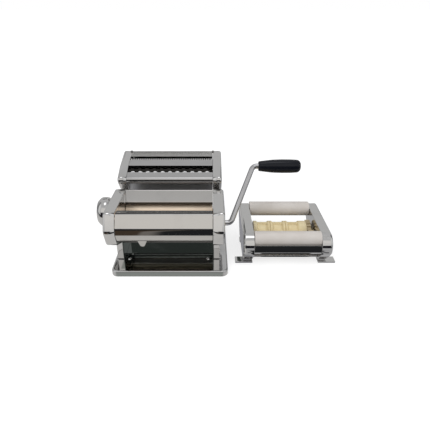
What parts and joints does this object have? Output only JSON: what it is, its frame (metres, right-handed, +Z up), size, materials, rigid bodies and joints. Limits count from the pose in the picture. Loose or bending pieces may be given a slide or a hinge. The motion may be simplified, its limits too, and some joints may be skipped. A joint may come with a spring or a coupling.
{
  "type": "pasta machine with ravioli attachment",
  "caption": "Hand-cranked chrome pasta machine with a thickness knob and a lift-off cutter head, beside a small ravioli attachment with mould rollers.",
  "frame": {"origin": "middle of the set's footprint, on the table", "axes": "+X from the knob towards the ravioli attachment, +Y from the front cover towards the cutter head, +Z up"},
  "size_m": [0.408, 0.2056, 0.16],
  "materials": {
    "base_plate": "mirror polished plate",
    "rubber_foot_front_left": "matt black rubber",
    "rubber_foot_front_right": "matt black rubber",
    "rubber_foot_rear_left": "matt black rubber",
    "rubber_foot_rear_right": "matt black rubber",
    "left_frame": "mirror polished plate",
    "right_frame": "mirror polished plate",
    "left_housing": "mirror polished plate",
    "right_housing": "mirror polished plate",
    "front_cover": "mirror polished plate",
    "feed_cover": "mirror polished plate",
    "front_guide": "satin steel",
    "front_scraper": "satin steel",
    "rear_scraper": "satin steel",
    "low_tie_rod": "mirror polished plate",
    "front_tie_rod": "mirror polished plate",
    "left_bush": "plain turned brass",
    "right_bush": "plain turned brass",
    "left_rail": "satin steel",
    "right_rail": "satin steel",
    "front_roller": "ground and plated, slightly warm",
    "front_gear": "plain machined steel",
    "left_bearing_block": "plain machined steel",
    "right_bearing_block": "plain machined steel",
    "rear_roller": "ground and plated, slightly warm",
    "rear_gear": "plain machined steel",
    "cam_shaft": "plain machined steel",
    "knob": "mirror polished plate",
    "crank_rod": "satin steel",
    "crank_grip": "glossy black",
    "cutter_left_cap": "mirror polished plate",
    "cutter_right_cap": "mirror polished plate",
    "cutter_left_plate": "satin steel",
    "cutter_right_plate": "satin steel",
    "cutter_front_cover": "mirror polished plate",
    "cutter_middle_plate": "mirror polished plate",
    "cutter_rear_cover": "mirror polished plate",
    "wide_comb": "satin steel",
    "fine_comb": "satin steel",
    "cutter_tie_rod": "satin steel",
    "wide_cutter_drive": "satin steel",
    "wide_gear_drive": "plain machined steel",
    "wide_cutter_driven": "satin steel",
    "wide_gear_driven": "plain machined steel",
    "fine_cutter_drive": "satin steel",
    "fine_gear_drive": "plain machined steel",
    "fine_cutter_driven": "satin steel",
    "fine_gear_driven": "plain machined steel",
    "ravioli_left_housing": "mirror polished plate",
    "ravioli_right_housing": "mirror polished plate",
    "ravioli_left_plate": "satin steel",
    "ravioli_right_plate": "satin steel",
    "ravioli_guard": "mirror polished plate",
    "ravioli_tie_bar": "satin steel",
    "front_guide_roller": "satin white plastic",
    "rear_guide_roller": "satin white plastic",
    "front_mould": "satin cream plastic",
    "rear_mould": "satin cream plastic"
  },
  "bodies": {
    "machine": {"base_plate": "base_plate", "rubber_foot_front_left": "rubber_foot_front_left", "rubber_foot_front_right": "rubber_foot_front_right", "rubber_foot_rear_left": "rubber_foot_rear_left", "rubber_foot_rear_right": "rubber_foot_rear_right", "left_frame": "left_frame", "right_frame": "right_frame", "left_housing": "left_housing", "right_housing": "right_housing", "front_cover": "front_cover", "feed_cover": "feed_cover", "front_guide": "front_guide", "front_scraper": "front_scraper", "rear_scraper": "rear_scraper", "low_tie_rod": "low_tie_rod", "front_tie_rod": "front_tie_rod", "left_bush": "left_bush", "right_bush": "right_bush", "left_rail": "left_rail", "right_rail": "right_rail"},
    "drive_roller": {"front_roller": "front_roller", "front_gear": "front_gear"},
    "roller_carrier": {"left_bearing_block": "left_bearing_block", "right_bearing_block": "right_bearing_block"},
    "rear_roller": {"rear_roller": "rear_roller", "rear_gear": "rear_gear"},
    "thickness_cam": {"cam_shaft": "cam_shaft"},
    "thickness_knob": {"knob": "knob"},
    "crank": {"crank_rod": "crank_rod"},
    "crank_grip": {"crank_grip": "crank_grip"},
    "cutter_head": {"cutter_left_cap": "cutter_left_cap", "cutter_right_cap": "cutter_right_cap", "cutter_left_plate": "cutter_left_plate", "cutter_right_plate": "cutter_right_plate", "cutter_front_cover": "cutter_front_cover", "cutter_middle_plate": "cutter_middle_plate", "cutter_rear_cover": "cutter_rear_cover", "wide_comb": "wide_comb", "fine_comb": "fine_comb", "cutter_tie_rod": "cutter_tie_rod"},
    "wide_drive": {"wide_cutter_drive": "wide_cutter_drive", "wide_gear_drive": "wide_gear_drive"},
    "wide_driven": {"wide_cutter_driven": "wide_cutter_driven", "wide_gear_driven": "wide_gear_driven"},
    "fine_drive": {"fine_cutter_drive": "fine_cutter_drive", "fine_gear_drive": "fine_gear_drive"},
    "fine_driven": {"fine_cutter_driven": "fine_cutter_driven", "fine_gear_driven": "fine_gear_driven"},
    "ravioli_attachment": {"ravioli_left_housing": "ravioli_left_housing", "ravioli_right_housing": "ravioli_right_housing", "ravioli_left_plate": "ravioli_left_plate", "ravioli_right_plate": "ravioli_right_plate", "ravioli_guard": "ravioli_guard", "ravioli_tie_bar": "ravioli_tie_bar"},
    "front_guide_roller": {"front_guide_roller": "front_guide_roller"},
    "rear_guide_roller": {"rear_guide_roller": "rear_guide_roller"},
    "front_mould": {"front_mould": "front_mould"},
    "rear_mould": {"rear_mould": "rear_mould"}
  },
  "joints": [
    {"name": "crank_turn", "type": "hinge", "parent": "machine", "child": "drive_roller", "pos_m": [-0.0815, -0.03275, 0.068], "axis": [1, 0, 0], "range_deg": [-45, 125]},
    {"name": "carrier_slide", "type": "slide", "parent": "machine", "child": "roller_carrier", "axis": [0, 1, 0], "range_m": [0, 0.0025]},
    {"name": "rear_roller_turn", "type": "hinge", "parent": "roller_carrier", "child": "rear_roller", "pos_m": [-0.0815, -0.00375, 0.0745], "axis": [1, 0, 0], "continuous": true},
    {"name": "knob_turn", "type": "hinge", "parent": "machine", "child": "thickness_cam", "pos_m": [-0.0815, -0.00375, 0.0745], "axis": [1, 0, 0], "range_deg": [0, 320]},
    {"name": "knob_pull", "type": "slide", "parent": "thickness_cam", "child": "thickness_knob", "axis": [-1, 0, 0], "range_m": [0, 0.004], "stiffness_N_per_m": 1500, "springref_m": -0.003},
    {"name": "crank_pull", "type": "slide", "parent": "drive_roller", "child": "crank", "axis": [1, 0, 0], "range_m": [0, 0.03]},
    {"name": "grip_spin", "type": "hinge", "parent": "crank", "child": "crank_grip", "pos_m": [0.107, 0.02346, 0.14828], "axis": [1, 0, 0], "continuous": true},
    {"name": "head_lift", "type": "slide", "parent": "machine", "child": "cutter_head", "axis": [0, 0, 1], "range_m": [0, 0.04]},
    {"name": "wide_drive_turn", "type": "hinge", "parent": "cutter_head", "child": "wide_drive", "pos_m": [-0.0815, 0.03565, 0.1213], "axis": [1, 0, 0], "continuous": true},
    {"name": "wide_driven_turn", "type": "hinge", "parent": "cutter_head", "child": "wide_driven", "pos_m": [-0.0815, 0.05085, 0.1277], "axis": [1, 0, 0], "continuous": true},
    {"name": "fine_drive_turn", "type": "hinge", "parent": "cutter_head", "child": "fine_drive", "pos_m": [-0.0815, 0.08155, 0.1325], "axis": [1, 0, 0], "continuous": true},
    {"name": "fine_driven_turn", "type": "hinge", "parent": "cutter_head", "child": "fine_driven", "pos_m": [-0.0815, 0.06715, 0.1295], "axis": [1, 0, 0], "continuous": true},
    {"name": "ravioli_slide", "type": "slide", "parent": "machine", "child": "ravioli_attachment", "axis": [1, 0, 0], "range_m": [0, 0.12]},
    {"name": "front_guide_turn", "type": "hinge", "parent": "ravioli_attachment", "child": "front_guide_roller", "pos_m": [0.118, -0.05075, 0.0476], "axis": [1, 0, 0], "continuous": true},
    {"name": "rear_guide_turn", "type": "hinge", "parent": "ravioli_attachment", "child": "rear_guide_roller", "pos_m": [0.118, 0.05225, 0.052], "axis": [1, 0, 0], "continuous": true},
    {"name": "front_mould_turn", "type": "hinge", "parent": "ravioli_attachment", "child": "front_mould", "pos_m": [0.118, -0.02375, 0.026], "axis": [1, 0, 0], "continuous": true},
    {"name": "rear_mould_turn", "type": "hinge", "parent": "ravioli_attachment", "child": "rear_mould", "pos_m": [0.118, 0.01325, 0.026], "axis": [1, 0, 0], "continuous": true}
  ],
  "couplings": [
    {"joint": "rear_roller_turn", "follows": "crank_turn", "ratio": -1},
    {"joint": "knob_turn", "follows": "carrier_slide", "rad_per_m": 2234},
    {"joint": "wide_driven_turn", "follows": "wide_drive_turn", "ratio": -1},
    {"joint": "fine_driven_turn", "follows": "fine_drive_turn", "ratio": -1},
    {"joint": "rear_mould_turn", "follows": "front_mould_turn", "ratio": -1}
  ]
}
